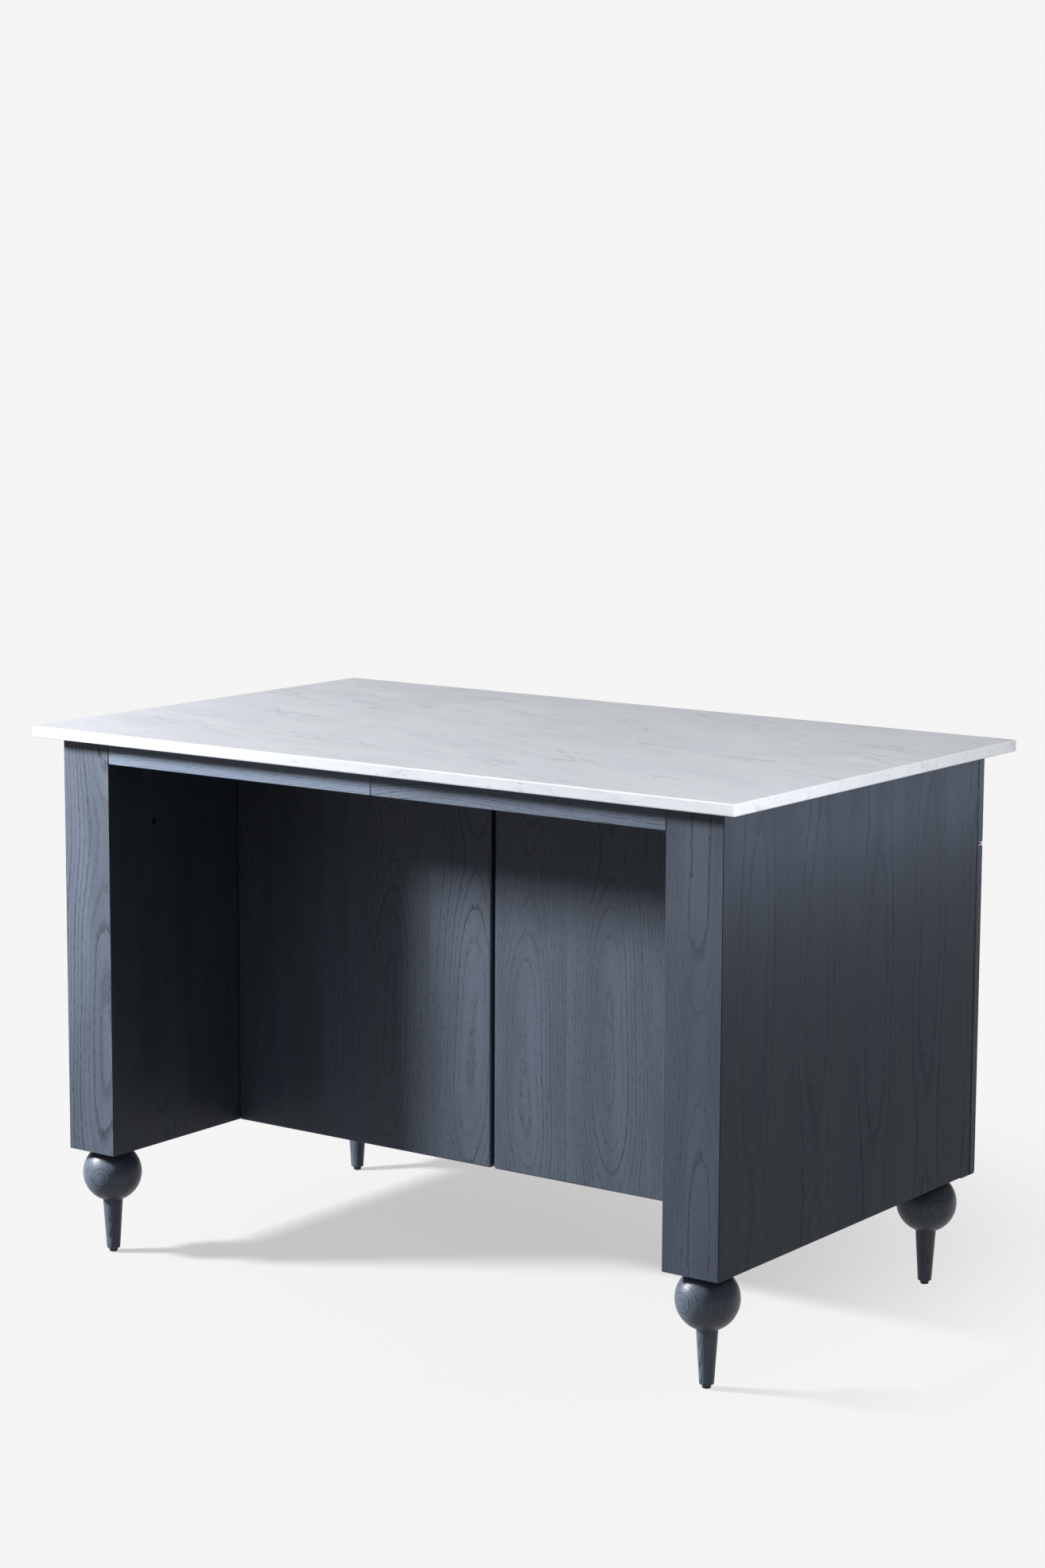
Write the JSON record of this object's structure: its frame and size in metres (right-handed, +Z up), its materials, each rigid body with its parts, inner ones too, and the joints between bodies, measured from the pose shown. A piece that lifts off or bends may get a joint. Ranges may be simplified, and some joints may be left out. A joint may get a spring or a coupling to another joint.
{
  "type": "kitchen island",
  "caption": "Free-standing kitchen island with a marble top, a knee space for seating, drawers over hinged doors, and turned ball feet.",
  "frame": {"origin": "on the floor, under the middle of the marble top", "axes": "+X along the top's length, to the right of someone standing at the seating side and looking at the island; +Y from the seating side towards the side with the drawers and doors; +Z up"},
  "size_m": [1.397, 0.8636, 0.9144],
  "materials": {
    "stained_oak": "satin",
    "marble": "polished",
    "pale_wood": "matte",
    "zinc_steel": "satin",
    "black_plastic": "matte"
  },
  "bodies": {
    "root": {"apron_left": "stained_oak", "apron_right": "stained_oak", "back_panel_left": "stained_oak", "back_panel_right": "stained_oak", "cabinet_back": "stained_oak", "cabinet_floor": "stained_oak", "cabinet_top": "stained_oak", "centre_divider": "stained_oak", "drawer_rail_left": "stained_oak", "drawer_rail_right": "stained_oak", "end_panel_left": "stained_oak", "end_panel_right": "stained_oak", "foot_front_left": "stained_oak", "foot_front_right": "stained_oak", "foot_rear_left": "stained_oak", "foot_rear_right": "stained_oak", "glide_front_left": "black_plastic", "glide_front_right": "black_plastic", "glide_rear_left": "black_plastic", "glide_rear_right": "black_plastic", "knee_joist": "stained_oak", "marble_top": "marble", "pivot_bottom_centre": "zinc_steel", "pivot_bottom_left": "zinc_steel", "pivot_bottom_right": "zinc_steel", "pivot_top_centre": "zinc_steel", "pivot_top_left": "zinc_steel", "pivot_top_right": "zinc_steel", "shelf_left": "stained_oak", "shelf_right": "stained_oak", "slide_track_left": "zinc_steel", "slide_track_right": "zinc_steel", "wing_base_left": "stained_oak", "wing_base_right": "stained_oak", "wing_inner_left": "stained_oak", "wing_inner_right": "stained_oak", "wing_stile_left": "stained_oak", "wing_stile_right": "stained_oak"},
    "drawer_left": {"drawer_front_left": "stained_oak", "drawer_side_left_left": "pale_wood", "drawer_side_right_left": "pale_wood", "drawer_back_left": "pale_wood", "drawer_bottom_left": "pale_wood", "drawer_knob_left": "stained_oak", "slide_runner_left": "zinc_steel"},
    "drawer_right": {"drawer_front_right": "stained_oak", "drawer_side_left_right": "pale_wood", "drawer_side_right_right": "pale_wood", "drawer_back_right": "pale_wood", "drawer_bottom_right": "pale_wood", "drawer_knob_right": "stained_oak", "slide_runner_right": "zinc_steel"},
    "door_outer_left": {"door_outer_left": "stained_oak", "door_knob_outer_left": "stained_oak"},
    "door_inner_left": {"door_inner_left": "stained_oak", "door_knob_inner_left": "stained_oak"},
    "door_inner_right": {"door_inner_right": "stained_oak", "door_knob_inner_right": "stained_oak"},
    "door_outer_right": {"door_outer_right": "stained_oak", "door_knob_outer_right": "stained_oak"}
  },
  "joints": [
    {"name": "drawer_left_slide", "type": "slide", "parent": "root", "child": "drawer_left", "axis": [0, 1, 0], "range_m": [0, 0.25]},
    {"name": "drawer_right_slide", "type": "slide", "parent": "root", "child": "drawer_right", "axis": [0, 1, 0], "range_m": [0, 0.25]},
    {"name": "door_outer_left_hinge", "type": "hinge", "parent": "root", "child": "door_outer_left", "pos_m": [-0.6505, 0.3888, 0.185], "axis": [0, 0, 1], "range_deg": [0, 105]},
    {"name": "door_inner_left_hinge", "type": "hinge", "parent": "root", "child": "door_inner_left", "pos_m": [-0.01175, 0.3888, 0.185], "axis": [0, 0, -1], "range_deg": [0, 80]},
    {"name": "door_inner_right_hinge", "type": "hinge", "parent": "root", "child": "door_inner_right", "pos_m": [0.01175, 0.3888, 0.185], "axis": [0, 0, 1], "range_deg": [0, 80]},
    {"name": "door_outer_right_hinge", "type": "hinge", "parent": "root", "child": "door_outer_right", "pos_m": [0.6505, 0.3888, 0.185], "axis": [0, 0, -1], "range_deg": [0, 105]}
  ]
}
